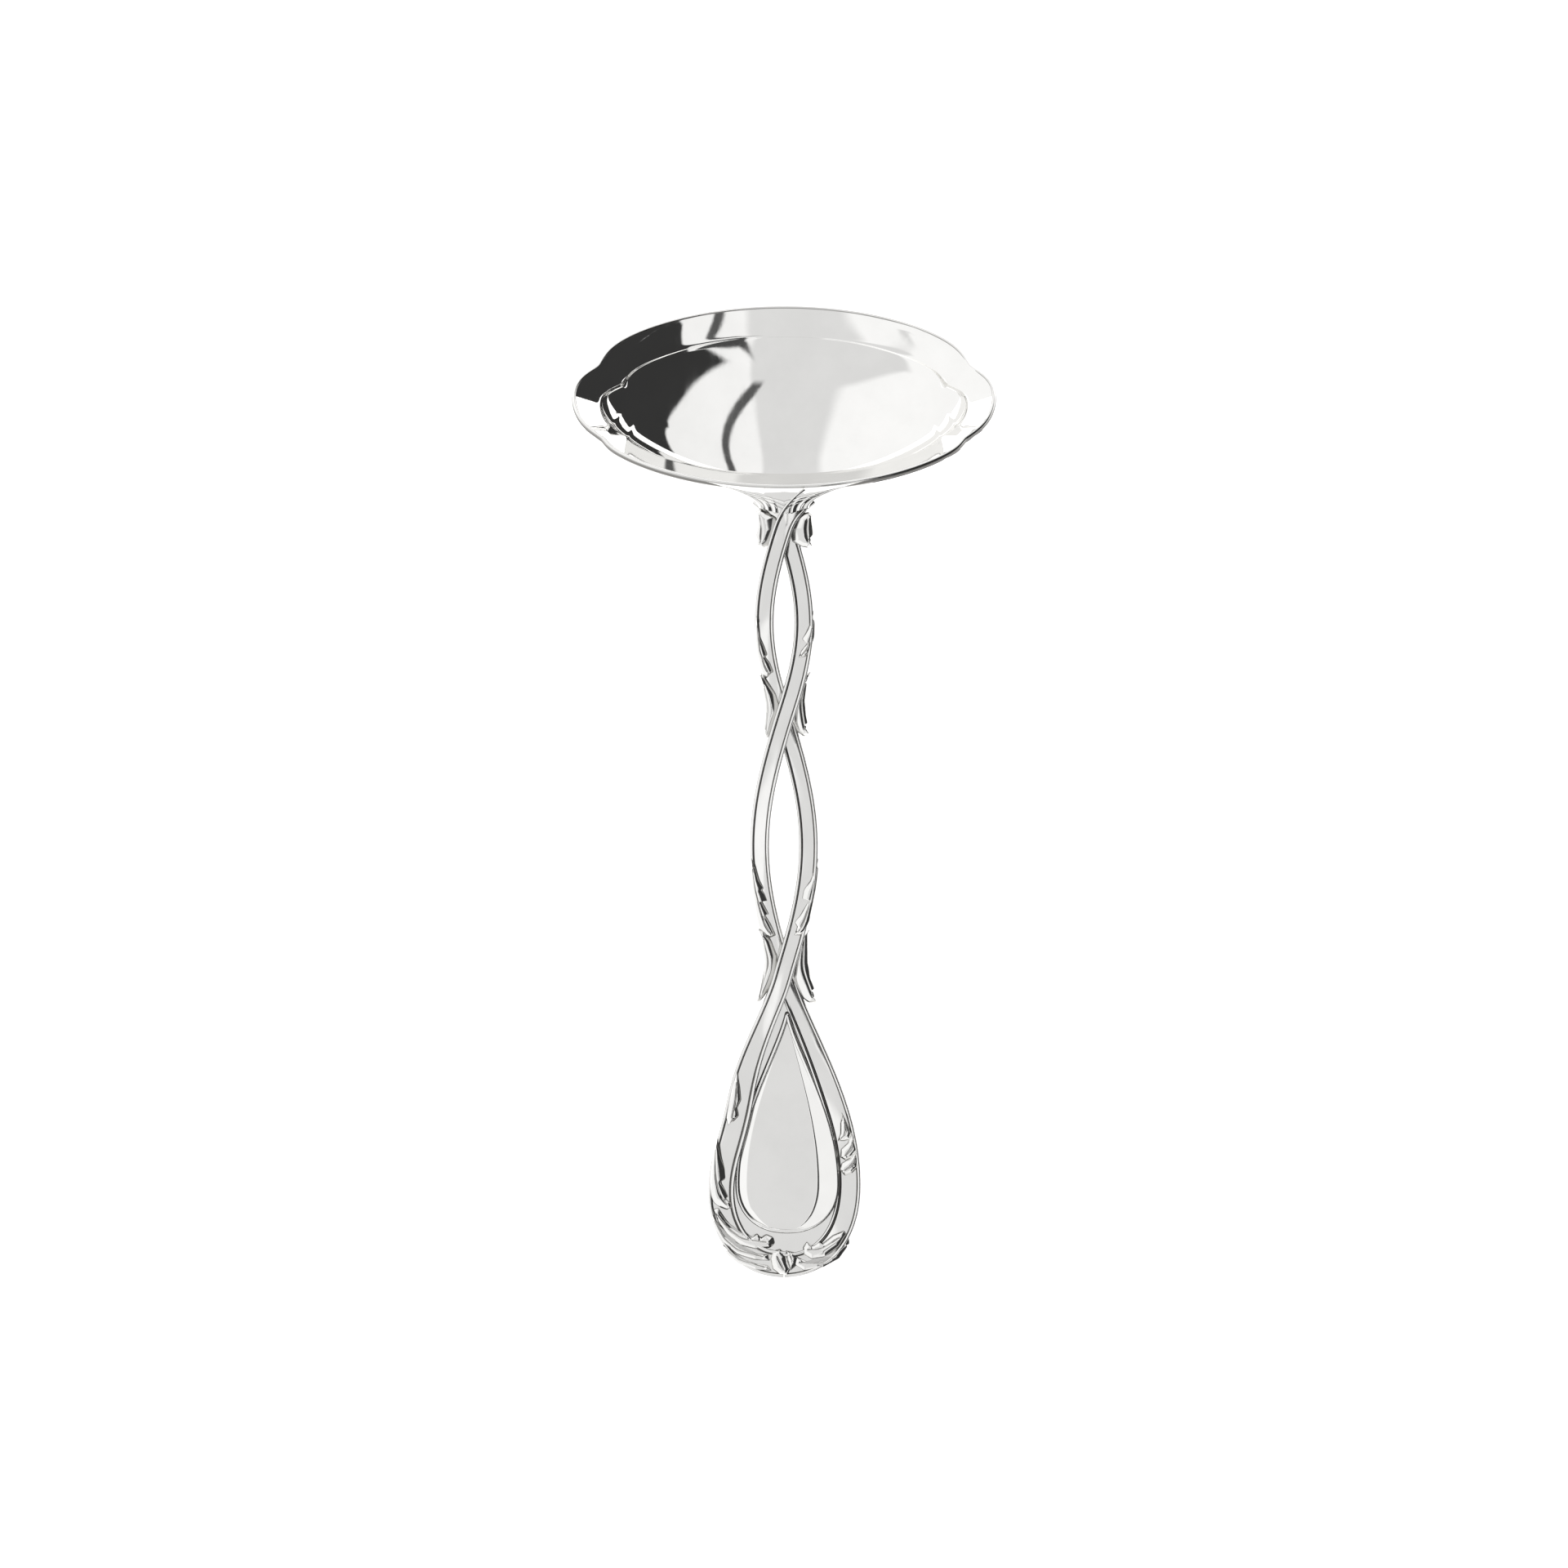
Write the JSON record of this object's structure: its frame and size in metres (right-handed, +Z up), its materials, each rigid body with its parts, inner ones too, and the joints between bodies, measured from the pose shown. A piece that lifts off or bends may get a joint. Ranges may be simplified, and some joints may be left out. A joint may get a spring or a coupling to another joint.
{
  "type": "sauce ladle",
  "caption": "Small silver ladle with a lobed oval bowl that pours at both ends and an openwork handle of twisted ribbons ending in a teardrop.",
  "frame": {"origin": "centre of the footprint, on the table that the ladle lies on", "axes": "+X along the bowl's long axis, +Y from the handle to the bowl, +Z up with the bowl's mouth facing up"},
  "size_m": [0.0782, 0.1798, 0.0312],
  "materials": {
    "polished_silver": "mirror-polished sterling silver",
    "chased_silver": "polished silver with light patina left in the chased lines"
  },
  "bodies": {
    "root": {"bowl_shell": "polished_silver", "rim_thread": "polished_silver", "neck_shoulder": "polished_silver", "ribbon_one": "chased_silver", "ribbon_two": "chased_silver", "neck_sprig_left": "chased_silver", "neck_sprig_right": "chased_silver", "upper_leaf_left": "chased_silver", "upper_leaf_right": "chased_silver", "upper_sprig_left": "chased_silver", "upper_sprig_right": "chased_silver", "lower_leaf_left": "chased_silver", "lower_leaf_right": "chased_silver", "lower_sprig_left": "chased_silver", "lower_sprig_right": "chased_silver", "end_back": "polished_silver", "teardrop_plate": "polished_silver", "plate_bead": "chased_silver", "shoulder_leaf": "chased_silver", "side_leaf": "chased_silver", "base_leaf_left": "chased_silver", "base_leaf_right": "chased_silver", "wrap_leaf": "chased_silver", "end_bud": "chased_silver"}
  },
  "joints": []
}
